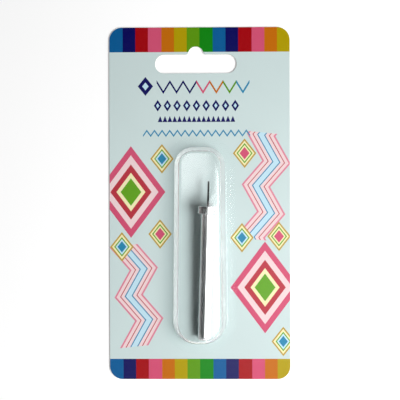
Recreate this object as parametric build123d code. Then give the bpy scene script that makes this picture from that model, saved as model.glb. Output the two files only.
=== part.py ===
from build123d import *
import math
import os

# A slotted quilling tool with a collar, lying loose in a clear blister on its hanging card.
# Millimetres. The card lies on its back: X runs across it, Y up towards the hang slot, Z out of its face.
# The origin is the middle of the card's back.

# Card
card_w = 70.7
card_l = 137.9
card_t = 0.6
card_corner_r = 5.0

# Hang slot, the common shop size of 32 by 10.5
hang_w = 32.0
hang_h = 10.5
hang_bar_h = 7.4
hang_root_r = 1.0
hang_top_margin = 7.5
hang_offset_x = -1.4

# Needle
needle_d = 0.75
needle_out = 9.4
needle_root = 13.0
needle_tip_r = 0.22
needle_slot_l = 4.5
needle_slot_w = 0.25

# Collar
collar_d = 8.0
collar_t = 3.15
collar_rim_r = 0.45
collar_spigot_l = 2.4
collar_line_w = 0.36
collar_line_depth = 0.12
collar_line_from_back = 1.2

# Handle barrel
handle_d = 5.2
handle_l = 48.9
handle_wall = 0.5
handle_mouth_r = 0.12

# Bush that grips the needle inside the barrel
bush_l = 12.0
bush_gap = 0.2
bush_lead_r = 0.25
root_gap = 0.15

# End plug, whose head is the rounded end of the handle
plug_head_t = 1.1
plug_round_r = 0.75
plug_spigot_l = 5.0
plug_lead_r = 0.25

# Running and seating clearances
rest_gap = 0.2
press_gap = 0.01
overrun = 2.0

# Blister film and flange
film_t = 0.35
flange_w = 4.0
draft = 13.0
brow_r = 1.1
foot_r = 0.5

# Room that the blister leaves round the tool, measured at the card
side_room_head = 5.95
side_room_foot = 6.65
end_room_head = 13.6
end_room_foot = 2.3
top_room = 0.65
head_corner_r = 5.6
foot_corner_r = 9.4
blister_foot_margin = 13.75

# How the tool lies in the blister
tool_offset_x = 3.1
tool_lean = 1.7

# Places that follow from the sizes above
collar_r = collar_d / 2
handle_r = handle_d / 2
needle_r = needle_d / 2
barrel_r = handle_r - handle_wall
barrel_l = handle_l - plug_head_t
blister_y0 = blister_foot_margin - card_l / 2
handle_end_y = blister_y0 + end_room_foot
tool_tilt = math.degrees(math.atan2(collar_r - handle_r, handle_l))
lean_cos = math.cos(math.radians(tool_lean))
lean_sin = math.sin(math.radians(tool_lean))
tilt_cos = math.cos(math.radians(tool_tilt))
tilt_sin = math.sin(math.radians(tool_tilt))
collar_y = handle_end_y + handle_l * lean_cos * tilt_cos
tip_y = collar_y + (collar_t + needle_out) * lean_cos * tilt_cos
blister_y1 = tip_y + end_room_head
blister_h = rest_gap + collar_d + top_room + film_t
hang_peak_r = hang_h - hang_bar_h

# The tool's own frame: its origin at the collar's back face, its local Z towards the needle's tip
tool_frame = Plane(
    origin=(tool_offset_x, collar_y, card_t + rest_gap + collar_r * tilt_cos),
    x_dir=(lean_cos, -lean_sin, 0),
    z_dir=(lean_sin * tilt_cos, lean_cos * tilt_cos, tilt_sin),
)
UPWARD = (Align.CENTER, Align.CENTER, Align.MIN)
DOWNWARD = (Align.CENTER, Align.CENTER, Align.MAX)


def rod(radius, z0, z1):
    """A cylinder on the tool's local axis between two heights."""
    return Pos(0, 0, z0) * Cylinder(radius, z1 - z0, align=UPWARD)


def end_edges(shape, z):
    """The edges of a turned piece that lie at one height."""
    return [e for e in shape.edges() if abs(e.center().Z - z) < press_gap]


def make_needle():
    """The needle: a round wire with a rounded tip, slotted along its last stretch."""
    bottom = -needle_root
    top = collar_t + needle_out
    wire = rod(needle_r, bottom, top)
    wire = fillet(end_edges(wire, top), needle_tip_r)
    slot_floor = top - needle_slot_l
    gap = Pos(0, 0, slot_floor) * Box(needle_d + overrun, needle_slot_w, needle_slot_l + overrun, align=UPWARD)
    floor_round = Pos(0, 0, slot_floor) * Rot(0, 90, 0) * Cylinder(needle_slot_w / 2, needle_d + overrun)
    return wire - gap - floor_round


def make_collar():
    """The collar: a rounded flange with a fine turned line, a spigot for the barrel and a through bore."""
    disc = rod(collar_r, 0, collar_t)
    disc = fillet(end_edges(disc, 0) + end_edges(disc, collar_t), collar_rim_r)
    line_z = collar_line_from_back + collar_line_w / 2
    line = Pos(0, 0, line_z) * Torus(collar_r + collar_line_w / 2 - collar_line_depth, collar_line_w / 2)
    spigot = rod(barrel_r - press_gap, -collar_spigot_l, collar_rim_r)
    spigot = fillet(end_edges(spigot, -collar_spigot_l), bush_lead_r)
    bore = rod(needle_r + press_gap, -collar_spigot_l - overrun, collar_t + overrun)
    return disc - line + spigot - bore


def make_needle_bush():
    """The bush: a slug inside the barrel, bored from the front to hold the needle's root."""
    front = -collar_spigot_l - bush_gap
    slug = rod(barrel_r - press_gap, front - bush_l, front)
    slug = fillet(end_edges(slug, front) + end_edges(slug, front - bush_l), bush_lead_r)
    bore = rod(needle_r + press_gap, -needle_root - root_gap, front + overrun)
    return slug - bore


def make_handle_tube():
    """The barrel: a drawn tube, its outer edges broken, open at both ends."""
    tube = rod(handle_r, -barrel_l, 0)
    tube = fillet(end_edges(tube, 0) + end_edges(tube, -barrel_l), handle_mouth_r)
    return tube - rod(barrel_r, -barrel_l - overrun, overrun)


def make_end_plug():
    """The end plug: a rounded head that closes the barrel, on a spigot pressed into it."""
    head = rod(handle_r, -handle_l, -barrel_l)
    head = fillet(end_edges(head, -handle_l), plug_round_r)
    head = fillet(end_edges(head, -barrel_l), handle_mouth_r)
    spigot_top = plug_spigot_l - barrel_l
    spigot = rod(barrel_r - press_gap, -barrel_l - plug_head_t / 2, spigot_top)
    spigot = fillet(end_edges(spigot, spigot_top), plug_lead_r)
    return head + spigot


def make_card():
    """The card: a board with rounded corners and a hang slot cut through it."""
    board = RectangleRounded(card_w, card_l, card_corner_r)
    bar_y = card_l / 2 - hang_top_margin - hang_h + hang_bar_h / 2
    bar = Pos(hang_offset_x, bar_y) * SlotOverall(hang_w, hang_bar_h)
    peak = Pos(hang_offset_x, bar_y + hang_bar_h / 2) * Circle(hang_peak_r)
    slot = bar + peak
    roots = [v for v in slot.vertices() if abs(v.X - hang_offset_x) < hang_peak_r + press_gap]
    slot = fillet(roots, hang_root_r)
    return extrude(board - slot, card_t)


def footprint(grow):
    """The blister's outline on the card, moved outwards by grow: a long form, wider at its foot."""
    head_x = collar_r + side_room_head + grow
    foot_x = collar_r + side_room_foot + grow
    y0 = blister_y0 - grow
    y1 = blister_y1 + grow
    outline = Polygon((-foot_x, y0), (foot_x, y0), (head_x, y1), (-head_x, y1), align=None)
    foot_corners = [v for v in outline.vertices() if v.Y < (y0 + y1) / 2]
    outline = fillet(foot_corners, foot_corner_r + grow)
    head_corners = [v for v in outline.vertices() if v.Y > y1 - press_gap]
    return fillet(head_corners, head_corner_r + grow)


def hood(grow, height, round_r):
    """A drafted solid on the footprint, its upper edge rounded."""
    solid = extrude(footprint(grow), height, taper=draft)
    brow = [e for e in solid.edges() if e.center().Z > height - press_gap]
    return fillet(brow, round_r)


def make_blister():
    """The blister: a thin drafted shell with a flange, open at the back where the card closes it."""
    wall = film_t / math.cos(math.radians(draft))
    outer = hood(0, blister_h, brow_r)
    inner = hood(-wall, blister_h - film_t, brow_r - film_t)
    flange = extrude(footprint(flange_w), film_t)
    shell = outer + flange
    root = [
        e
        for e in shell.edges()
        if abs(e.bounding_box().max.Z - film_t) < press_gap
        and abs(e.bounding_box().min.Z - film_t) < press_gap
        and abs(e.center().X) < collar_r + side_room_foot + press_gap
        and blister_y0 - press_gap < e.center().Y < blister_y1 + press_gap
    ]
    shell = fillet(root, foot_r)
    return Pos(0, 0, card_t) * (shell - inner)


PIECES = {
    "card": make_card,
    "blister": make_blister,
}
TOOL_PIECES = {
    "needle": make_needle,
    "collar": make_collar,
    "needle_bush": make_needle_bush,
    "handle_tube": make_handle_tube,
    "end_plug": make_end_plug,
}

os.makedirs("parts", exist_ok=True)
for node, make in PIECES.items():
    export_step(make(), f"parts/{node}.step")
for node, make in TOOL_PIECES.items():
    export_step(tool_frame.location * make(), f"parts/{node}.step")
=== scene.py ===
"""Looks and studio for a carded quilling tool: printed hanging card, clear blister and a small metal tool.

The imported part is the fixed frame. Lengths are millimetres in the part's own frame, except where metres are named.
"""

import logging
import math
from dataclasses import dataclass
from enum import Enum
from typing import Callable, Optional

import bmesh
import bpy
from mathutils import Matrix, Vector


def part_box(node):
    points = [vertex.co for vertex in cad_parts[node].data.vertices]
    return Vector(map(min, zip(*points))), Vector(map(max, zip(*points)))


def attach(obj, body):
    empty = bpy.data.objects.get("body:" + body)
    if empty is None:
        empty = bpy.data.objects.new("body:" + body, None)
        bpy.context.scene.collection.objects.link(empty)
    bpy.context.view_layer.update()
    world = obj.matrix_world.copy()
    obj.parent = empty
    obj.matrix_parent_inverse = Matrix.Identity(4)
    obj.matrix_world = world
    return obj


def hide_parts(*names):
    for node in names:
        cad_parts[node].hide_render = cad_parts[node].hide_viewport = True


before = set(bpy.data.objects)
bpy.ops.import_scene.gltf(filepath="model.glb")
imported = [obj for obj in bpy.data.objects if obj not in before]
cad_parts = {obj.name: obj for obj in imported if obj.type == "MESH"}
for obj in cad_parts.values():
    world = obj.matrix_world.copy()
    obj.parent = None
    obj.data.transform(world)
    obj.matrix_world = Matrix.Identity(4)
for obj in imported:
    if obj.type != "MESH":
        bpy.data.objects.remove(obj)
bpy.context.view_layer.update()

# One millimetre, and the distance within which two points are one, both in metres.
MM = 0.001
WELD = 1e-7
# A ray depth above this has bounced at least once.
BOUNCED = 0.5

Socket = bpy.types.NodeSocket
Colour = tuple[float, float, float]
Triple = tuple[float, float, float]
Point = tuple[float, float]
# Where a step or run starts and ends.
Span = tuple[float, float]
# A noise's scale and its levels of finer noise.
Grain = tuple[float, float]

WHITE: Colour = (1.0, 1.0, 1.0)
log = logging.getLogger("carded_tool")


def linear(red: int, green: int, blue: int) -> Colour:
    """Turns a colour as seen on a screen into the linear values that a shader takes.

    Args:
        red: Red from 0 to 255.
        green: Green from 0 to 255.
        blue: Blue from 0 to 255.

    Returns:
        The three linear values.
    """
    shares = (red / 255.0, green / 255.0, blue / 255.0)
    # The sRGB curve: a short straight foot, then a power.
    return tuple(s / 12.92 if s <= 0.04045 else ((s + 0.055) / 1.055) ** 2.4 for s in shares)


def shade(colour: Colour, share: float) -> Colour:
    """Makes a linear colour darker or lighter.

    Args:
        colour: The colour.
        share: What each of its values is multiplied by.

    Returns:
        The new colour.
    """
    return tuple(value * share for value in colour)


def ease(value: float, start: float, end: float) -> float:
    """Smooth step of a value between two limits.

    Args:
        value: The value to place.
        start: Where the step is still 0.
        end: Where the step has reached 1.

    Returns:
        A share from 0 to 1.
    """
    share = min(1.0, max(0.0, (value - start) / (end - start)))
    return share * share * (3.0 - 2.0 * share)


def put(name: str, data: bpy.types.ID) -> bpy.types.Object:
    """Puts a new object into the scene.

    Args:
        name: Its name.
        data: Its mesh, lamp or camera.

    Returns:
        The object.
    """
    thing = bpy.data.objects.new(name, data)
    bpy.context.scene.collection.objects.link(thing)
    return thing


def put_mesh(name: str, mesh: bmesh.types.BMesh) -> bpy.types.Object:
    """Puts a finished mesh into the scene and frees what it was built in.

    Args:
        name: The name of the mesh and its object.
        mesh: The finished mesh.

    Returns:
        The object.
    """
    data = bpy.data.meshes.new(name)
    mesh.to_mesh(data)
    mesh.free()
    return put(name, data)


def coat(name: str, material: bpy.types.Material) -> None:
    """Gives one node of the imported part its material.

    Args:
        name: The node's name.
        material: The material.
    """
    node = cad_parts[name]
    node.data.materials.clear()
    node.data.materials.append(material)
    log.info("%s dressed in %s: %d faces", name, material.name, len(node.data.polygons))


class Ink(Enum):
    """The printed colours of the card, in linear values."""

    GROUND = linear(212, 229, 228)
    BLUE = linear(10, 92, 150)
    NAVY = linear(3, 3, 86)
    RED = linear(162, 4, 14)
    ROSE = linear(212, 84, 118)
    ORANGE = linear(196, 108, 10)
    GOLD = linear(178, 156, 4)
    LIME = linear(92, 150, 14)
    GREEN = linear(12, 130, 14)
    CRIMSON = linear(184, 52, 66)
    PINK = linear(226, 134, 156)
    BLUSH = linear(246, 218, 220)
    OLIVE = linear(190, 158, 62)
    CREAM = linear(248, 240, 190)
    LEAF = linear(98, 162, 30)
    SKY = linear(200, 232, 246)
    TEAL = linear(44, 136, 176)


# Nested bands of ink from the middle outwards, each with its outer edge.
Bands = tuple[tuple[float, Ink], ...]

STRIPES = (Ink.BLUE, Ink.NAVY, Ink.RED, Ink.ROSE, Ink.ORANGE, Ink.GOLD, Ink.LIME, Ink.GREEN)
LARGE: Bands = ((0.30, Ink.LEAF), (0.42, Ink.CREAM), (0.60, Ink.CRIMSON), (0.80, Ink.BLUSH), (1.0, Ink.ROSE))
SMALL_ROSE: Bands = ((0.42, Ink.ROSE), (0.56, Ink.CREAM), (0.68, Ink.LEAF), (0.84, Ink.CREAM), (1.0, Ink.OLIVE))
SMALL_BLUE: Bands = ((0.38, Ink.TEAL), (0.54, Ink.SKY), (0.66, Ink.LEAF), (0.84, Ink.CREAM), (1.0, Ink.OLIVE))
BEAD: Bands = ((0.42, Ink.SKY), (1.0, Ink.NAVY))
RIBBON: Bands = (
    (1.1, Ink.SKY),
    (1.6, Ink.TEAL),
    (3.0, Ink.BLUSH),
    (3.4, Ink.CRIMSON),
    (4.8, Ink.BLUSH),
    (5.6, Ink.PINK),
)


class NodeDesk:
    """Writes the nodes of one material, from left to right."""

    def __init__(self, name: str) -> None:
        """Starts an empty material.

        Args:
            name: The material's name.
        """
        self.material = bpy.data.materials.new(name)
        self.material.use_nodes = True
        self.tree = self.material.node_tree
        self.tree.nodes.clear()
        self.out = self.tree.nodes.new("ShaderNodeOutputMaterial")

    def add(self, kind: str, **settings: object) -> bpy.types.Node:
        """Adds a node and sets its options.

        Args:
            kind: Blender's name of the node type.
            settings: Options of the node by name.

        Returns:
            The new node.
        """
        node = self.tree.nodes.new(kind)
        for key, value in settings.items():
            setattr(node, key, value)
        return node

    def feed(self, socket: Socket, value: object) -> None:
        """Gives a socket its value, or links another node's output to it.

        Args:
            socket: The input socket.
            value: A number, a vector, a colour without alpha or an output socket.
        """
        if isinstance(value, Socket):
            self.tree.links.new(value, socket)
        elif socket.type == "RGBA":
            socket.default_value = (*value, 1.0)
        else:
            socket.default_value = value

    def shader(self, kind: str, values: dict[str, object]) -> Socket:
        """Adds a shader.

        Args:
            kind: Blender's name of the shader.
            values: What its sockets are fed, by their names.

        Returns:
            The shader's output.
        """
        node = self.add(kind)
        for name, value in values.items():
            self.feed(node.inputs[name], value)
        return node.outputs[0]

    def mix(self, share: object, under: Socket, over: Socket) -> Socket:
        """Mixes two shaders.

        Args:
            share: How much of the second shader shows.
            under: The first shader.
            over: The second shader.

        Returns:
            The mixed shader.
        """
        node = self.add("ShaderNodeMixShader")
        for socket, value in zip(node.inputs, (share, under, over)):
            self.feed(socket, value)
        return node.outputs[0]

    def math(self, operation: str, first: object, second: object = 0.0, third: object = 0.0) -> Socket:
        """Adds one sum.

        Args:
            operation: Blender's name of the operation.
            first: First value.
            second: Second value.
            third: Third value.

        Returns:
            The result's socket.
        """
        node = self.add("ShaderNodeMath", operation=operation)
        for socket, value in zip(node.inputs, (first, second, third)):
            self.feed(socket, value)
        return node.outputs[0]

    def between(self, share: object, low: float, high: float) -> Socket:
        """Adds a straight run from one number to another.

        Args:
            share: What drives the run, from 0 to 1.
            low: The number at 0.
            high: The number at 1.

        Returns:
            The run's socket.
        """
        return self.math("MULTIPLY_ADD", share, high - low, low)

    def vector(self, operation: str, first: object, second: object = (0.0, 0.0, 0.0)) -> bpy.types.Node:
        """Adds one vector sum.

        Args:
            operation: Blender's name of the operation.
            first: First vector.
            second: Second vector.

        Returns:
            The node, whose outputs are a vector and a value.
        """
        node = self.add("ShaderNodeVectorMath", operation=operation)
        self.feed(node.inputs[0], first)
        self.feed(node.inputs[1], second)
        return node

    def scale(self, vector: object, factor: object) -> Socket:
        """Makes a vector longer or shorter.

        Args:
            vector: The vector.
            factor: What it is multiplied by.

        Returns:
            The new vector's socket.
        """
        node = self.add("ShaderNodeVectorMath", operation="SCALE")
        self.feed(node.inputs[0], vector)
        self.feed(node.inputs["Scale"], factor)
        return node.outputs[0]

    def split(self, vector: object) -> tuple[Socket, ...]:
        """Splits a vector.

        Args:
            vector: The vector.

        Returns:
            Its X, Y and Z.
        """
        node = self.add("ShaderNodeSeparateXYZ")
        self.feed(node.inputs[0], vector)
        return tuple(node.outputs)

    def ramp(self, value: object, stops: list[tuple[float, tuple[float, ...]]], steps: bool) -> bpy.types.Node:
        """Adds a colour ramp.

        Args:
            value: What drives the ramp.
            stops: Places from 0 to 1 with their colours.
            steps: True for hard steps, False for a smooth run.

        Returns:
            The ramp, whose outputs are a colour and an alpha.
        """
        node = self.add("ShaderNodeValToRGB")
        node.color_ramp.interpolation = "CONSTANT" if steps else "LINEAR"
        elements = node.color_ramp.elements
        while len(elements) < len(stops):
            elements.new(1.0)
        for element, (place, colour) in zip(elements, stops):
            element.position = place
            element.color = colour if len(colour) == 4 else (*colour, 1.0)
        self.feed(node.inputs[0], value)
        return node

    def tones(self, value: object, span: Span, dark: Colour, light: Colour) -> Socket:
        """Adds a run from a dark tone to a light one.

        Args:
            value: What drives the run.
            span: Where it starts and ends, from 0 to 1.
            dark: The colour at its start.
            light: The colour at its end.

        Returns:
            The colour's socket.
        """
        return self.ramp(value, list(zip(span, (dark, light))), False).outputs[0]

    def step(self, value: object, start: float, end: float) -> Socket:
        """Adds a smooth step from 0 to 1, which falls where the start lies above the end.

        Args:
            value: What drives the step.
            start: Where it is still 0.
            end: Where it has reached 1.

        Returns:
            The step's socket.
        """
        node = self.add("ShaderNodeMapRange", interpolation_type="SMOOTHSTEP")
        for name, number in (("Value", value), ("From Min", start), ("From Max", end)):
            self.feed(node.inputs[name], number)
        return node.outputs["Result"]

    def noise(self, place: object, scale: float, detail: float, flat: bool = False) -> Socket:
        """Adds a noise.

        Args:
            place: Coordinates, or one value when flat is True.
            scale: Scale of the noise.
            detail: Levels of finer noise.
            flat: True for a noise along one value only.

        Returns:
            The noise's value.
        """
        node = self.add("ShaderNodeTexNoise", noise_dimensions="1D" if flat else "3D")
        self.feed(node.inputs["W" if flat else "Vector"], place)
        node.inputs["Scale"].default_value = scale
        node.inputs["Detail"].default_value = detail
        return node.outputs[0]

    def blend(self, share: object, under: object, over: object) -> Socket:
        """Lays one colour over another.

        Args:
            share: How much of the upper colour shows.
            under: The lower colour.
            over: The upper colour.

        Returns:
            The mixed colour.
        """
        node = self.add("ShaderNodeMix", data_type="RGBA")
        for socket, value in ((node.inputs[0], share), (node.inputs[6], under), (node.inputs[7], over)):
            self.feed(socket, value)
        return node.outputs[2]

    def bump(self, height: object, depth: float) -> Socket:
        """Adds a bump.

        Args:
            height: Height from 0 to 1.
            depth: Depth of the bump in millimetres.

        Returns:
            The bumped normal.
        """
        node = self.add("ShaderNodeBump")
        node.inputs["Distance"].default_value = depth * MM
        self.feed(node.inputs["Height"], height)
        return node.outputs[0]

    def place(self) -> Socket:
        """Gives the object's own coordinates in millimetres."""
        return self.scale(self.add("ShaderNodeTexCoord").outputs["Object"], 1.0 / MM)

    def along(self, place: Socket, axis: Vector) -> Socket:
        """Measures how far a place lies along an axis.

        Args:
            place: The place.
            axis: The axis.

        Returns:
            The distance.
        """
        return self.vector("DOT_PRODUCT", place, tuple(axis)).outputs["Value"]

    def metal(
        self,
        tone: Socket,
        relief: Socket,
        depth: float,
        roughness: float,
        spread: float,
        edge_tint: Colour = WHITE,
    ) -> bpy.types.Material:
        """Finishes the material as bare metal, whose roughness follows its relief.

        Args:
            tone: Its colour.
            relief: Its fine lines, from 0 to 1.
            depth: Depth of the lines in millimetres.
            roughness: Its middle roughness.
            spread: How far the roughness runs from the lowest to the highest place.
            edge_tint: What it mirrors at a low angle is multiplied by this.

        Returns:
            The finished material.
        """
        values = {
            "Base Color": tone,
            "Metallic": 1.0,
            "Roughness": self.between(relief, roughness - spread / 2.0, roughness + spread / 2.0),
            "Specular Tint": edge_tint,
            "Normal": self.bump(relief, depth),
        }
        return self.finish(self.shader("ShaderNodeBsdfPrincipled", values))

    def finish(self, shader: Socket) -> bpy.types.Material:
        """Links the last shader to the output.

        Args:
            shader: The shader's output.

        Returns:
            The finished material.
        """
        self.tree.links.new(shader, self.out.inputs["Surface"])
        return self.material


class RoomDesk(NodeDesk):
    """Writes the nodes of the room around the object."""

    def __init__(self, name: str) -> None:
        """Starts an empty room.

        Args:
            name: The world's name.
        """
        self.world = bpy.data.worlds.new(name)
        self.world.use_nodes = True
        self.tree = self.world.node_tree
        self.tree.nodes.clear()
        self.out = self.tree.nodes.new("ShaderNodeOutputWorld")


@dataclass(frozen=True)
class PolishedMetal:
    """Turned and polished metal with fine lines round the tool's axis."""

    name: str = "polished_metal"
    colour: Colour = (0.80, 0.81, 0.82)
    dull: float = 0.93
    dull_span: Span = (0.25, 0.75)
    clouds: Grain = (0.35, 3.0)
    lines: Grain = (9.0, 4.0)
    line_depth: float = 0.0012
    roughness: float = 0.13
    roughness_spread: float = 0.10

    def make(self, axis: Vector) -> bpy.types.Material:
        """Makes the material.

        Args:
            axis: Direction of the tool's axis.

        Returns:
            The material.
        """
        desk = NodeDesk(self.name)
        place = desk.place()
        lines = desk.noise(desk.along(place, axis), *self.lines, flat=True)
        clouds = desk.noise(place, *self.clouds)
        tone = desk.tones(clouds, self.dull_span, shade(self.colour, self.dull), self.colour)
        return desk.metal(tone, lines, self.line_depth, self.roughness, self.roughness_spread)


@dataclass(frozen=True)
class DarkSteel:
    """Hardened steel wire, drawn along its length."""

    name: str = "dark_steel"
    colour: Colour = (0.010, 0.011, 0.012)
    dark: float = 0.6
    light: float = 1.5
    tone_span: Span = (0.3, 0.7)
    edge_tint: Colour = (0.25, 0.25, 0.25)
    streaks: Grain = (14.0, 3.0)
    streak_stretch: float = 0.96
    streak_depth: float = 0.004
    roughness: float = 0.36
    roughness_spread: float = 0.2

    def make(self, axis: Vector) -> bpy.types.Material:
        """Makes the material.

        Args:
            axis: Direction of the wire.

        Returns:
            The material.
        """
        desk = NodeDesk(self.name)
        place = desk.place()
        back = desk.math("MULTIPLY", desk.along(place, axis), -self.streak_stretch)
        drawn = desk.vector("ADD", place, desk.scale(tuple(axis), back)).outputs[0]
        streaks = desk.noise(drawn, *self.streaks)
        tone = desk.tones(streaks, self.tone_span, shade(self.colour, self.dark), shade(self.colour, self.light))
        return desk.metal(tone, streaks, self.streak_depth, self.roughness, self.roughness_spread, self.edge_tint)


@dataclass(frozen=True)
class TurnedBrass:
    """Brass bar as it comes off the lathe, with coarse feed lines."""

    name: str = "turned_brass"
    colour: Colour = (0.78, 0.58, 0.24)
    stained: float = 0.7
    stain_span: Span = (0.3, 0.7)
    stains: Grain = (0.5, 4.0)
    feed_lines: Grain = (6.0, 2.0)
    feed_depth: float = 0.006
    roughness: float = 0.305
    roughness_spread: float = 0.15

    def make(self, axis: Vector) -> bpy.types.Material:
        """Makes the material.

        Args:
            axis: Direction of the bush's axis.

        Returns:
            The material.
        """
        desk = NodeDesk(self.name)
        place = desk.place()
        feed_lines = desk.noise(desk.along(place, axis), *self.feed_lines, flat=True)
        stains = desk.noise(place, *self.stains)
        tone = desk.tones(stains, self.stain_span, shade(self.colour, self.stained), self.colour)
        return desk.metal(tone, feed_lines, self.feed_depth, self.roughness, self.roughness_spread)


@dataclass(frozen=True)
class ClearFilm:
    """Clear thermoformed film. Light for what it covers goes straight through, less what its skins mirror."""

    name: str = "clear_film"
    tint: Colour = (0.985, 0.995, 0.995)
    passed_tint: Colour = (0.99, 0.99, 0.99)
    roughness: float = 0.05
    bend: float = 1.5
    mirrored: float = 0.025
    mirror_roughness: float = 0.1
    edge_power: float = 6.0
    waves: Grain = (0.25, 1.0)
    wave_depth: float = 0.003
    haze: float = 0.0

    def make(self) -> bpy.types.Material:
        """Makes the material.

        Returns:
            The material.
        """
        desk = NodeDesk(self.name)
        glass = desk.shader(
            "ShaderNodeBsdfPrincipled",
            {
                "Base Color": self.tint,
                "Roughness": self.roughness,
                "IOR": self.bend,
                "Transmission Weight": 1.0,
                "Normal": desk.bump(desk.noise(desk.place(), *self.waves), self.wave_depth),
            },
        )
        mirror = desk.shader("ShaderNodeBsdfGlossy", {"Color": WHITE, "Roughness": self.mirror_roughness})
        clear = desk.shader("ShaderNodeBsdfTransparent", {"Color": self.passed_tint})
        path = desk.add("ShaderNodeLightPath")
        skin = desk.mix(path.outputs["Is Diffuse Ray"], glass, mirror)
        steep = desk.math("POWER", desk.add("ShaderNodeLayerWeight").outputs["Facing"], self.edge_power)
        passed = desk.between(steep, 1.0 - self.mirrored, 0.0)
        straight = desk.math("MAXIMUM", path.outputs["Is Shadow Ray"], path.outputs["Is Diffuse Ray"])
        film = desk.mix(desk.math("MULTIPLY", straight, passed), skin, clear)
        if self.haze == 0.0:
            return desk.finish(film)
        milk = desk.shader("ShaderNodeBsdfTranslucent", {"Color": WHITE})
        return desk.finish(desk.mix(desk.between(straight, self.haze, 0.0), film, milk))


class Film(Enum):
    """The film's finishes: as it comes, pressed onto the card, and drawn thin on the steep walls."""

    CLEAR = ClearFilm()
    SEALED = ClearFilm(name="sealed_film", bend=1.1, mirrored=0.002, wave_depth=0.001)
    DRAWN = ClearFilm(name="drawn_film", bend=1.3, wave_depth=0.001, haze=0.32)


@dataclass
class InkPlate:
    """Lays flat shapes of ink on the card's face, each over the last, in millimetres on the card.

    A ribbon's last band ends at ribbon_end on its colour ramp.
    """

    desk: NodeDesk
    place: Socket
    colour: Socket
    ribbon_end: float = 0.5

    def at(self, centre: Point, turn: float = 0.0) -> Socket:
        """Moves and turns the coordinates to one shape's own.

        Args:
            centre: The shape's centre.
            turn: The shape's turn in degrees.

        Returns:
            The shape's own coordinates.
        """
        moved = self.desk.vector("SUBTRACT", self.place, (*centre, 0.0)).outputs[0]
        if turn == 0.0:
            return moved
        node = self.desk.add("ShaderNodeVectorRotate", rotation_type="Z_AXIS")
        self.desk.feed(node.inputs["Vector"], moved)
        node.inputs["Angle"].default_value = math.radians(-turn)
        return node.outputs[0]

    def inked(self, reach: Socket, bands: Bands, end: float) -> bpy.types.Node:
        """Adds the ramp of nested bands, with no ink beyond the last.

        Args:
            reach: How far a place lies from the middle, on the ramp's scale.
            bands: The bands.
            end: Where the last band ends on the ramp.

        Returns:
            The ramp, whose outputs are a colour and an alpha.
        """
        full, last = bands[-1]
        stops = []
        start = 0.0
        for edge, ink in bands:
            stops.append((start, (*ink.value, 1.0)))
            start = edge / full * end
        stops.append((start, (*last.value, 0.0)))
        return self.desk.ramp(reach, stops, True)

    def lozenge(self, centre: Point, half: Point, rings: Bands) -> None:
        """Prints a lozenge of nested bands.

        Args:
            centre: Its centre.
            half: Half of its width and height.
            rings: Its bands, with their edges as shares.
        """
        size = self.desk.vector("ABSOLUTE", self.at(centre)).outputs[0]
        reach = self.desk.vector("DOT_PRODUCT", size, (1.0 / half[0], 1.0 / half[1], 0.0)).outputs["Value"]
        ramp = self.inked(reach, rings, 1.0)
        self.colour = self.desk.blend(ramp.outputs["Alpha"], self.colour, ramp.outputs["Color"])

    def zigzag(self, centre: Point, length: float, wave: Point, bands: Bands, turn: float) -> None:
        """Prints a zigzag ribbon along its own Y.

        Args:
            centre: Its centre.
            length: Its length.
            wave: Width and length of one wave.
            bands: Its bands from the ribbon's middle line outwards.
            turn: Its turn in degrees.
        """
        x, y, _ = self.desk.split(self.at(centre, turn))
        fold = self.desk.math("PINGPONG", y, wave[1] / 2.0)
        middle = self.desk.math("MULTIPLY_ADD", fold, 2.0 * wave[0] / wave[1], -wave[0] / 2.0)
        aside = self.desk.math("ABSOLUTE", self.desk.math("SUBTRACT", x, middle))
        reach = self.desk.math("MULTIPLY", aside, self.ribbon_end / bands[-1][0])
        ramp = self.inked(reach, bands, self.ribbon_end)
        within = self.desk.math("LESS_THAN", self.desk.math("ABSOLUTE", y), length / 2.0)
        share = self.desk.math("MULTIPLY", within, ramp.outputs["Alpha"])
        self.colour = self.desk.blend(share, self.colour, ramp.outputs["Color"])

    def points(self, centre: Point, length: float, tooth: Point, ink: Ink) -> None:
        """Prints a row of small triangles that stand on a line.

        Args:
            centre: The middle of the line.
            length: The line's length.
            tooth: Width and height of one triangle.
            ink: Its ink.
        """
        x, y, _ = self.desk.split(self.at(centre))
        fold = self.desk.math("PINGPONG", x, tooth[0] / 2.0)
        top = self.desk.math("MULTIPLY", fold, 2.0 * tooth[1] / tooth[0])
        under = self.desk.math("LESS_THAN", y, top)
        over = self.desk.math("GREATER_THAN", y, 0.0)
        within = self.desk.math("LESS_THAN", self.desk.math("ABSOLUTE", x), length / 2.0)
        share = self.desk.math("MULTIPLY", self.desk.math("MULTIPLY", under, over), within)
        self.colour = self.desk.blend(share, self.colour, ink.value)


@dataclass
class Ornament:
    """The generic ornament beside the blister: a ribbon, a large lozenge over it and small ones around."""

    ribbon_at: Point
    ribbon_length: float
    ribbon_turn: float
    large_at: Point
    small_at: tuple[tuple[Point, Bands], ...]
    ribbon_wave: Point = (7.0, 20.0)
    large_half: Point = (13.5, 18.0)
    small_half: Point = (4.6, 5.8)

    def press(self, plate: InkPlate) -> None:
        """Prints the ornament.

        Args:
            plate: The plate to print on.
        """
        plate.zigzag(self.ribbon_at, self.ribbon_length, self.ribbon_wave, RIBBON, self.ribbon_turn)
        plate.lozenge(self.large_at, self.large_half, LARGE)
        for centre, rings in self.small_at:
            plate.lozenge(centre, self.small_half, rings)


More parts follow.
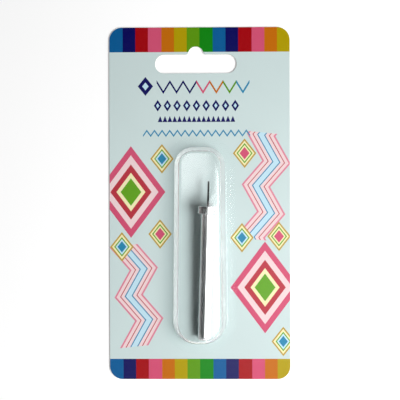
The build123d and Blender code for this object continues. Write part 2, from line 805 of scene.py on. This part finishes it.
LEFT_ORNAMENT = Ornament(
    ribbon_at=(-24.5, -36.0),
    ribbon_length=40.0,
    ribbon_turn=6.0,
    large_at=(-27.0, 4.5),
    small_at=(
        ((-15.6, -12.0), SMALL_ROSE),
        ((-30.6, -17.0), SMALL_BLUE),
        ((-14.8, 17.5), SMALL_BLUE),
    ),
)
RIGHT_ORNAMENT = Ornament(
    ribbon_at=(25.5, 6.5),
    ribbon_length=42.0,
    ribbon_turn=-6.0,
    large_at=(25.5, -33.0),
    small_at=(
        ((16.5, -13.5), SMALL_BLUE),
        ((31.0, -13.0), SMALL_ROSE),
        ((17.6, 19.6), SMALL_ROSE),
        ((32.6, -54.2), SMALL_BLUE),
    ),
)


@dataclass
class Heading:
    """Rows of plain ornament in the upper part of the card, all on one middle line."""

    middle: float = -1.2
    row_turn: float = 90.0
    bead_at: Point = (-21.2, 45.9)
    bead_half: Point = (3.0, 3.7)
    fold_y: float = 45.6
    fold: Point = (4.2, 5.2)
    fold_stroke: float = 0.62
    navy_folds: int = 3
    fold_inks: tuple[Ink, ...] = (Ink.ROSE, Ink.ORANGE, Ink.LIME, Ink.TEAL)
    beads_y: float = 38.3
    beads_half: Point = (1.5, 2.3)
    beads_pitch: float = 3.8
    beads_aside: int = 4
    teeth_y: float = 31.9
    teeth_length: float = 30.4
    tooth: Point = (1.9, 2.4)
    line_y: float = 27.5
    line_length: float = 42.0
    line_fold: Point = (2.1, 3.0)
    line_stroke: float = 0.42

    def press(self, plate: InkPlate) -> None:
        """Prints the rows from the top down.

        Args:
            plate: The plate to print on.
        """
        plate.lozenge(self.bead_at, self.bead_half, BEAD)
        wave = self.fold[1]
        folds = [(self.middle - self.navy_folds / 2.0 * wave, self.navy_folds * wave, Ink.NAVY)]
        folds += [(self.middle + wave * (step + 0.5), wave, ink) for step, ink in enumerate(self.fold_inks)]
        for x, length, ink in folds:
            plate.zigzag((x, self.fold_y), length, self.fold, ((self.fold_stroke, ink),), self.row_turn)
        for step in range(-self.beads_aside, self.beads_aside + 1):
            plate.lozenge((self.middle + self.beads_pitch * step, self.beads_y), self.beads_half, BEAD)
        plate.points((self.middle, self.teeth_y), self.teeth_length, self.tooth, Ink.NAVY)
        line = ((self.line_stroke, Ink.TEAL),)
        plate.zigzag((self.middle, self.line_y), self.line_length, self.line_fold, line, self.row_turn)


@dataclass
class PrintedCard:
    """The hanging card: printed face, grey board back and a pale core at its cut edges."""

    width: float = 70.7
    length: float = 137.9
    top_band: float = 9.65
    bottom_band: float = 7.95
    stripe: float = 5.05
    face_share: float = 0.5
    tone_span: Span = (0.3, 0.7)
    ground_dark: float = 0.97
    back_tones: tuple[Colour, Colour] = (linear(176, 174, 166), linear(204, 202, 194))
    core_tones: tuple[Colour, Colour] = (linear(206, 202, 190), linear(234, 232, 222))
    clouds: Grain = (0.03, 2.0)
    fibres: Grain = (0.9, 6.0)
    pulp: Grain = (1.6, 5.0)
    pulp_depth: float = 0.006
    face_roughness: float = 0.27
    board_roughness: float = 0.85
    gloss: float = 0.3

    def band(self, desk: NodeDesk, across: Socket) -> Socket:
        """Makes the colours of the striped bands.

        Args:
            desk: The card's node desk.
            across: X on the card in millimetres.

        Returns:
            The stripes' colour.
        """
        count = round(self.width / self.stripe)
        share = desk.math("MULTIPLY_ADD", across, 1.0 / self.width, 0.5)
        stops = [(n / count, STRIPES[n % len(STRIPES)].value) for n in range(count)]
        return desk.ramp(share, stops, True).outputs[0]

    def face(self, desk: NodeDesk, place: Socket) -> Socket:
        """Prints the card's face.

        Args:
            desk: The card's node desk.
            place: Place on the card in millimetres.

        Returns:
            The face's colour.
        """
        dark = shade(Ink.GROUND.value, self.ground_dark)
        ground = desk.tones(desk.noise(place, *self.clouds), self.tone_span, dark, Ink.GROUND.value)
        plate = InkPlate(desk, place, ground)
        for motif in (LEFT_ORNAMENT, RIGHT_ORNAMENT, Heading()):
            motif.press(plate)
        x, y, _ = desk.split(place)
        upper = desk.math("GREATER_THAN", y, self.length / 2.0 - self.top_band)
        lower = desk.math("LESS_THAN", y, self.bottom_band - self.length / 2.0)
        return desk.blend(desk.math("MAXIMUM", upper, lower), plate.colour, self.band(desk, x))

    def material(self) -> bpy.types.Material:
        """Makes the card's material.

        Returns:
            The material.
        """
        desk = NodeDesk("printed_board")
        place = desk.place()
        pulp = desk.noise(place, *self.pulp)
        face = self.face(desk, place)
        back = desk.tones(desk.noise(place, *self.fibres), self.tone_span, *self.back_tones)
        core = desk.tones(pulp, self.tone_span, *self.core_tones)
        _, _, facing = desk.split(desk.add("ShaderNodeTexCoord").outputs["Normal"])
        on_face = desk.math("GREATER_THAN", facing, self.face_share)
        on_back = desk.math("LESS_THAN", facing, -self.face_share)
        shader = desk.shader(
            "ShaderNodeBsdfPrincipled",
            {
                "Base Color": desk.blend(on_face, desk.blend(on_back, core, back), face),
                "Roughness": desk.between(on_face, self.board_roughness, self.face_roughness),
                "Specular IOR Level": self.gloss,
                "Normal": desk.bump(pulp, self.pulp_depth),
            },
        )
        return desk.finish(shader)

    def dress(self) -> None:
        """Gives the card's node its material."""
        coat("card", self.material())


@dataclass
class BlisterShell:
    """The clear shell over the tool: flange, drafted wall, rounded shoulder and a slightly crowned top.

    The top starts to fall at crown_from on the right and at crown_left_from on the left, and one crown_unit
    further out it has fallen by crown and by crown_left. Towards the head the right falls by crown_at_head of
    that only. Each wave has a depth, its radians per millimetre along and across, and a start.
    """

    film: float = 0.35
    flange: float = 3.9
    flange_film: float = 0.22
    flange_root: float = 0.6
    rim_film: float = 0.03
    rim_inset: float = 0.03
    lift: float = 0.01
    height: float = 9.2
    draft: float = 13.0
    foot_y: float = -55.2
    head_y: float = 22.1
    foot_half: float = 10.65
    head_half: float = 9.95
    foot_corner: float = 9.4
    head_corner: float = 7.4
    shoulder: float = 1.1
    shoulder_right: float = 0.7
    shoulder_way: Point = (0.9, -0.43)
    shoulder_full: float = 0.9
    foot_round: float = 0.45
    corner_steps: int = 26
    side_steps: int = 40
    end_steps: int = 12
    flange_steps: int = 8
    root_steps: int = 6
    wall_steps: int = 12
    shoulder_steps: int = 12
    top_steps: int = 14
    spine_inset: float = 3.6
    spine_short: float = 3.0
    crown: float = 0.34
    crown_left: float = 0.04
    crown_from: float = 2.4
    crown_left_from: float = 3.0
    crown_unit: float = 5.0
    crown_at_head: float = 0.12
    crown_span: Span = (-4.0, 4.0)
    crown_heights: Span = (0.45, 0.95)
    waves: tuple[tuple[float, float, float, float], ...] = ((0.006, 0.21, 0.2, 0.0), (0.003, 0.53, -0.3, 1.0))
    wall_share: float = 0.4

    def outline(self) -> list[tuple[Vector, Vector]]:
        """Walks round the blister's foot on the card.

        Returns:
            Points with their outward normals.
        """
        corners = (
            (Vector((self.foot_half, self.foot_y)), self.foot_corner),
            (Vector((self.head_half, self.head_y)), self.head_corner),
            (Vector((-self.head_half, self.head_y)), self.head_corner),
            (Vector((-self.foot_half, self.foot_y)), self.foot_corner),
        )
        arcs = []
        for n, (corner, radius) in enumerate(corners):
            before = (corner - corners[n - 1][0]).normalized()
            after = (corners[(n + 1) % len(corners)][0] - corner).normalized()
            first = Vector((before.y, -before.x))
            last = Vector((after.y, -after.x))
            middle = (first + last).normalized()
            centre = corner - middle * radius / middle.dot(first)
            start = math.atan2(first.y, first.x)
            sweep = first.angle(last)
            arc = []
            for step in range(self.corner_steps + 1):
                angle = start + sweep * step / self.corner_steps
                normal = Vector((math.cos(angle), math.sin(angle)))
                arc.append((centre + normal * radius, normal))
            arcs.append(arc)
        walked = []
        for n, arc in enumerate(arcs):
            walked += arc
            here, there = arc[-1], arcs[(n + 1) % len(arcs)][0]
            count = self.side_steps if n % 2 == 0 else self.end_steps
            for step in range(1, count):
                walked.append((here[0].lerp(there[0], step / count), here[1]))
        return walked

    def shoulder_at(self, normal: Vector) -> float:
        """Gives the shoulder's radius, which is larger on the right and lower right.

        Args:
            normal: Outward normal at the place.

        Returns:
            The radius.
        """
        facing = normal.dot(Vector(self.shoulder_way))
        return self.shoulder + self.shoulder_right * ease(facing, 0.0, self.shoulder_full)

    def root(self) -> list[Point]:
        """Walks up the rounding where the outer skin rises from the flange.

        Returns:
            Places as inward distance and height over the card.
        """
        low = self.foot_round
        lean = (self.flange_film + low) * math.tan(math.radians(self.draft))
        points = []
        for step in range(self.root_steps + 1):
            share = step / self.root_steps
            points.append((-low * (1.0 - share) ** 2 + lean * share**2, self.flange_film + low * share**2))
        return points

    def profile(self, normal: Vector, inner: bool) -> list[Point]:
        """Walks up one skin of the wall, from the card to the start of the top.

        Args:
            normal: Outward normal at the place.
            inner: True for the inner skin.

        Returns:
            Places as inward distance and height over the card.
        """
        slope = math.radians(self.draft)
        skin = self.film if inner else 0.0
        radius = self.shoulder_at(normal) - skin
        top = self.height - skin
        shift = skin / math.cos(slope)
        turn = math.pi / 2.0 - slope
        corner = top * math.tan(slope) + shift
        reach = radius * math.tan(turn / 2.0)
        centre = (corner + reach, top - radius)
        points = [(shift, self.lift)] if inner else self.root()
        bottom = points[-1]
        first = (centre[0] - radius * math.cos(slope), centre[1] + radius * math.sin(slope))
        for step in range(1, self.wall_steps):
            share = step / self.wall_steps
            points.append((bottom[0] + (first[0] - bottom[0]) * share, bottom[1] + (first[1] - bottom[1]) * share))
        for step in range(self.shoulder_steps + 1):
            angle = math.pi - slope - turn * step / self.shoulder_steps
            points.append((centre[0] + radius * math.cos(angle), centre[1] + radius * math.sin(angle)))
        return points

    def drop(self, x: float, y: float) -> float:
        """Gives how far the top falls from its full height at one place.

        Args:
            x: Place across the card.
            y: Place along the card.

        Returns:
            The fall in millimetres.
        """
        right = max(0.0, x - self.crown_from) / self.crown_unit
        left = max(0.0, -x - self.crown_left_from) / self.crown_unit
        foot = self.crown_at_head + (1.0 - self.crown_at_head) * ease(-y, *self.crown_span)
        fall = self.crown * right * right * foot + self.crown_left * left * left
        for depth, along, across, start in self.waves:
            fall += depth * (1.0 + math.sin(along * y + across * x + start))
        return fall

    def rings(self, walked: list[tuple[Vector, Vector]], inner: bool) -> list[list[Vector]]:
        """Builds one skin as rings from the card to the middle of the top.

        Args:
            walked: The outline on the card.
            inner: True for the inner skin.

        Returns:
            The rings, each with as many points as the outline.
        """
        profiles = [self.profile(normal, inner) for _, normal in walked]
        found = []
        for level in range(len(profiles[0])):
            ring = []
            for (point, normal), profile in zip(walked, profiles):
                inward, high = profile[level]
                flat = point - normal * inward
                ring.append(Vector((flat.x, flat.y, high)))
            found.append(ring)
        rim = found[-1]
        spine_end = self.head_half - self.spine_inset + self.spine_short
        lowest, highest = self.foot_y + spine_end, self.head_y - spine_end
        for step in range(1, self.top_steps + 1):
            ring = []
            for point in rim:
                spine = Vector((0.0, min(highest, max(lowest, point.y)), point.z))
                ring.append(point.lerp(spine, step / self.top_steps))
            found.append(ring)
        for ring in found:
            for point in ring:
                share = ease(point.z / self.height, *self.crown_heights)
                point.z -= self.drop(point.x, point.y) * share
        return found

    def flange_rows(self) -> list[Point]:
        """Walks round the flange's thin rim and in along its upper face.

        Returns:
            Places as inward distance and height over the card.
        """
        near = self.rim_inset - self.flange
        rows = [(near, self.lift), (-self.flange, self.lift), (-self.flange, self.rim_film), (near, self.rim_film)]
        for step in range(1, self.flange_steps):
            share = ease(step / self.flange_steps, 0.0, 1.0)
            inward = -self.flange + (self.flange - self.flange_root) * step / self.flange_steps
            rows.append((inward, self.rim_film + (self.flange_film - self.rim_film) * share))
        return rows

    def build(self) -> bpy.types.Object:
        """Builds the shell as one closed film.

        Returns:
            The shell's object.
        """
        walked = self.outline()
        count = len(walked)
        inner, outer = self.rings(walked, True), self.rings(walked, False)
        edge = []
        for inward, high in self.flange_rows():
            edge.append([Vector((*(point - normal * inward), high)) for point, normal in walked])
        rings = inner[::-1] + edge + outer
        card_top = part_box("card")[1].z / MM
        mesh = bmesh.new()
        grid = [[mesh.verts.new(Vector((p.x, p.y, p.z + card_top)) * MM) for p in ring] for ring in rings]
        slots = {film: n for n, film in enumerate(Film)}
        seal_from = len(inner) - 1
        for level, (lower, upper) in enumerate(zip(grid, grid[1:])):
            sealed = seal_from <= level <= seal_from + len(edge)
            for n in range(count):
                face = mesh.faces.new((lower[n], lower[(n + 1) % count], upper[(n + 1) % count], upper[n]))
                face.normal_update()
                steep = abs(face.normal.z) < self.wall_share
                face.material_index = slots[Film.SEALED if sealed else Film.DRAWN if steep else Film.CLEAR]
        bmesh.ops.remove_doubles(mesh, verts=mesh.verts, dist=WELD)
        bmesh.ops.dissolve_degenerate(mesh, dist=WELD, edges=mesh.edges)
        bmesh.ops.recalc_face_normals(mesh, faces=mesh.faces)
        shell = put_mesh("blister_shell", mesh)
        for polygon in shell.data.polygons:
            polygon.use_smooth = True
        for film in Film:
            shell.data.materials.append(film.value.make())
        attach(shell, "blister")
        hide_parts("blister")
        log.info("blister shell built: %d faces", len(shell.data.polygons))
        return shell


@dataclass
class QuillingTool:
    """The tool itself: needle, collar, bush, barrel and end plug, dressed in their metals.

    It rests on its collar and on the far end of its handle, so its axis rises a little towards the needle.
    """

    lean: float = 1.7
    collar_radius: float = 4.0
    handle_radius: float = 2.6
    handle_length: float = 48.9

    def axis(self) -> Vector:
        """Gives the direction from the handle's end to the needle's tip.

        Returns:
            The direction, of length 1.
        """
        lean = math.radians(self.lean)
        tilt = math.atan2(self.collar_radius - self.handle_radius, self.handle_length)
        return Vector((math.sin(lean) * math.cos(tilt), math.cos(lean) * math.cos(tilt), math.sin(tilt)))

    def dress(self) -> None:
        """Gives each of the tool's nodes its metal."""
        axis = self.axis()
        polished = PolishedMetal().make(axis)
        finishes = {
            "collar": PolishedMetal(name="polished_collar", colour=(0.66, 0.68, 0.68), roughness=0.08).make(axis),
            "handle_tube": polished,
            "end_plug": polished,
            "needle": DarkSteel().make(axis),
            "needle_bush": TurnedBrass().make(axis),
        }
        for name, material in finishes.items():
            coat(name, material)


@dataclass(frozen=True)
class Lamp:
    """A soft lamp aimed at the card, in metres. No glossy surface mirrors it."""

    name: str
    towards: Triple
    distance: float
    size: Point
    radiance: float

    def hang(self, target: Vector) -> None:
        """Hangs the lamp.

        Args:
            target: The point that it faces.
        """
        data = bpy.data.lights.new(self.name, "AREA")
        data.shape = "RECTANGLE"
        data.size, data.size_y = self.size
        data.energy = self.radiance * math.pi * self.size[0] * self.size[1]
        lamp = put(self.name, data)
        way = Vector(self.towards).normalized()
        lamp.location = target + way * self.distance
        lamp.rotation_mode = "QUATERNION"
        lamp.rotation_quaternion = way.to_track_quat("Z", "Y")
        lamp.visible_camera = False
        lamp.visible_glossy = False


@dataclass(frozen=True)
class Room:
    """The room that glossy surfaces mirror: dim, bright low on the right, with three soft panes overhead.

    One pane is on the right, a small one over the head and one towards the foot. Places overhead are slopes,
    which is how far across and along a direction runs for each unit that it rises.
    """

    dim: float = 0.05
    matt_share: float = 0.55
    lowest_rise: float = 0.05
    horizon_top: float = 0.12
    wall_span: Span = (0.28, 0.48)
    side_left: float = -0.003
    side_left_head: float = 0.03
    side_soft: float = 0.01
    side_turn: Span = (-0.017, -0.009)
    side_foot: Span = (-0.305, -0.275)
    side_head: Span = (0.063, 0.043)
    side_level: float = 4.5
    side_far: float = 4.5
    side_far_span: Span = (0.1, 0.35)
    side_low: float = 1.0
    side_low_span: Span = (0.8, 1.3)
    head_at: Point = (-0.05, 0.07)
    head_reach: Span = (0.095, 0.03)
    head_level: float = 4.2
    foot_near: Span = (-0.29, -0.35)
    foot_far: Span = (-0.75, -0.6)
    foot_sides: Span = (0.5, 0.35)
    foot_level: float = 2.4

    def side_pane(self, desk: RoomDesk, across: Socket, along: Socket) -> Socket:
        """Makes the large pane on the right, whose left edge steps aside above the tool.

        Args:
            desk: The room's node desk.
            across: Slope across the card.
            along: Slope along the card.

        Returns:
            The pane's light.
        """
        aside = desk.between(desk.step(along, *self.side_turn), self.side_left, self.side_left_head)
        pane = desk.step(desk.math("SUBTRACT", across, aside), 0.0, self.side_soft)
        for span in (self.side_foot, self.side_head):
            pane = desk.math("MULTIPLY", pane, desk.step(along, *span))
        level = desk.math("MULTIPLY_ADD", desk.step(across, *self.side_far_span), self.side_far, self.side_level)
        fall = self.side_low - self.side_level - self.side_far
        level = desk.math("MULTIPLY_ADD", desk.step(across, *self.side_low_span), fall, level)
        return desk.math("MULTIPLY", pane, level)

    def head_pane(self, desk: RoomDesk, across: Socket, along: Socket) -> Socket:
        """Makes the small round pane over the head.

        Args:
            desk: The room's node desk.
            across: Slope across the card.
            along: Slope along the card.

        Returns:
            The pane's light.
        """
        spot = desk.add("ShaderNodeCombineXYZ")
        desk.feed(spot.inputs[0], across)
        desk.feed(spot.inputs[1], along)
        away = desk.vector("DISTANCE", spot.outputs[0], (*self.head_at, 0.0)).outputs["Value"]
        return desk.math("MULTIPLY", desk.step(away, *self.head_reach), self.head_level)

    def foot_pane(self, desk: RoomDesk, across: Socket, along: Socket) -> Socket:
        """Makes the pane towards the foot, which ends before the steep slopes on either side.

        Args:
            desk: The room's node desk.
            across: Slope across the card.
            along: Slope along the card.

        Returns:
            The pane's share from 0 to 1.
        """
        pane = desk.math("MULTIPLY", desk.step(along, *self.foot_near), desk.step(along, *self.foot_far))
        return desk.math("MULTIPLY", pane, desk.step(desk.math("ABSOLUTE", across), *self.foot_sides))

    def paint(self) -> None:
        """Paints the room. It is white where the camera or clear film looks at it."""
        desk = RoomDesk("room")
        bpy.context.scene.world = desk.world
        desk.world.cycles.sampling_method = "NONE"
        x, y, z = desk.split(desk.add("ShaderNodeTexCoord").outputs["Generated"])
        rise = desk.math("MAXIMUM", z, self.lowest_rise)
        slopes = (desk.math("DIVIDE", x, rise), desk.math("DIVIDE", y, rise))
        above = desk.math("ADD", self.side_pane(desk, *slopes), self.head_pane(desk, *slopes))
        panes = desk.math("MULTIPLY_ADD", self.foot_pane(desk, *slopes), self.foot_level, above)
        panes = desk.math("MULTIPLY", panes, desk.step(z, 0.0, self.horizon_top))
        path = desk.add("ShaderNodeLightPath")
        matt = desk.math("GREATER_THAN", path.outputs["Diffuse Depth"], BOUNCED)
        glossy = desk.math("SUBTRACT", 1.0, matt)
        walls = desk.between(desk.step(x, *self.wall_span), self.dim, 1.0)
        walls = desk.math("MULTIPLY", walls, desk.between(matt, 1.0, self.matt_share))
        light = desk.math("MULTIPLY_ADD", panes, glossy, walls)
        unmirrored = desk.math("LESS_THAN", path.outputs["Glossy Depth"], BOUNCED)
        straight = desk.math("MULTIPLY", glossy, unmirrored)
        through = desk.math("MULTIPLY", path.outputs["Is Transmission Ray"], straight)
        seen = desk.math("MAXIMUM", path.outputs["Is Camera Ray"], through)
        level = desk.math("MULTIPLY_ADD", desk.math("SUBTRACT", 1.0, seen), light, seen)
        desk.feed(desk.out.inputs["Surface"], desk.shader("ShaderNodeBackground", {"Strength": level}))


KEY_LAMP = Lamp(name="key_lamp", towards=(0.95, -0.45, 1.15), distance=0.65, size=(0.5, 0.24), radiance=13.5)


@dataclass
class Studio:
    """Floor, lamp, room and camera. The camera's clip distances and the lamp's target are in metres."""

    camera_at: Triple = (2.63, 2.09, 250.02)
    camera_turn: Triple = (-0.18, 0.58, -0.144)
    camera_clip: Span = (0.01, 20.0)
    lens: float = 57.4
    sensor: float = 36.0
    floor_half: float = 3000.0
    floor_drop: float = 0.05
    floor_colour: Colour = (0.86, 0.86, 0.86)
    floor_white: float = 0.3
    lamp_target: Triple = (0.0, -0.01, 0.0)

    def hang_camera(self) -> None:
        """Hangs the camera over the card, a little tilted."""
        data = bpy.data.cameras.new("camera")
        data.lens = self.lens
        data.sensor_width = self.sensor
        data.clip_start, data.clip_end = self.camera_clip
        camera = put("camera", data)
        x, y, height = self.camera_at
        camera.location = (x * MM, y * MM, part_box("card")[1].z + height * MM)
        camera.rotation_euler = tuple(math.radians(angle) for angle in self.camera_turn)
        bpy.context.scene.camera = camera

    def lay_floor(self) -> None:
        """Lays the pale floor, which keeps the object's shadow."""
        half = self.floor_half * MM
        mesh = bmesh.new()
        signs = ((-1, -1), (1, -1), (1, 1), (-1, 1))
        mesh.faces.new([mesh.verts.new((x * half, y * half, -self.floor_drop * MM)) for x, y in signs])
        floor = put_mesh("floor", mesh)
        desk = NodeDesk("pale_floor")
        matt = desk.shader("ShaderNodeBsdfDiffuse", {"Color": self.floor_colour})
        path = desk.add("ShaderNodeLightPath")
        seen = desk.math("MAXIMUM", path.outputs["Is Camera Ray"], path.outputs["Is Glossy Ray"])
        seen = desk.math("MAXIMUM", seen, path.outputs["Is Transmission Ray"])
        white = desk.shader("ShaderNodeEmission", {"Strength": desk.math("MULTIPLY", seen, self.floor_white)})
        both = desk.add("ShaderNodeAddShader")
        desk.feed(both.inputs[0], matt)
        desk.feed(both.inputs[1], white)
        floor.data.materials.append(desk.finish(both.outputs[0]))

    def build(self) -> None:
        """Builds the whole studio."""
        self.hang_camera()
        self.lay_floor()
        Room().paint()
        KEY_LAMP.hang(Vector(self.lamp_target))
        bpy.context.scene.view_settings.view_transform = "Standard"
        log.info("studio built")


def main() -> None:
    """Builds the studio and dresses every piece in order."""
    logging.basicConfig(level=logging.INFO, format="%(name)s: %(message)s")
    steps: tuple[Callable[[], Optional[object]], ...] = (
        Studio().build,
        PrintedCard().dress,
        QuillingTool().dress,
        BlisterShell().build,
    )
    for step in steps:
        step()
    log.info("size written")


if __name__ == "__main__":
    main()
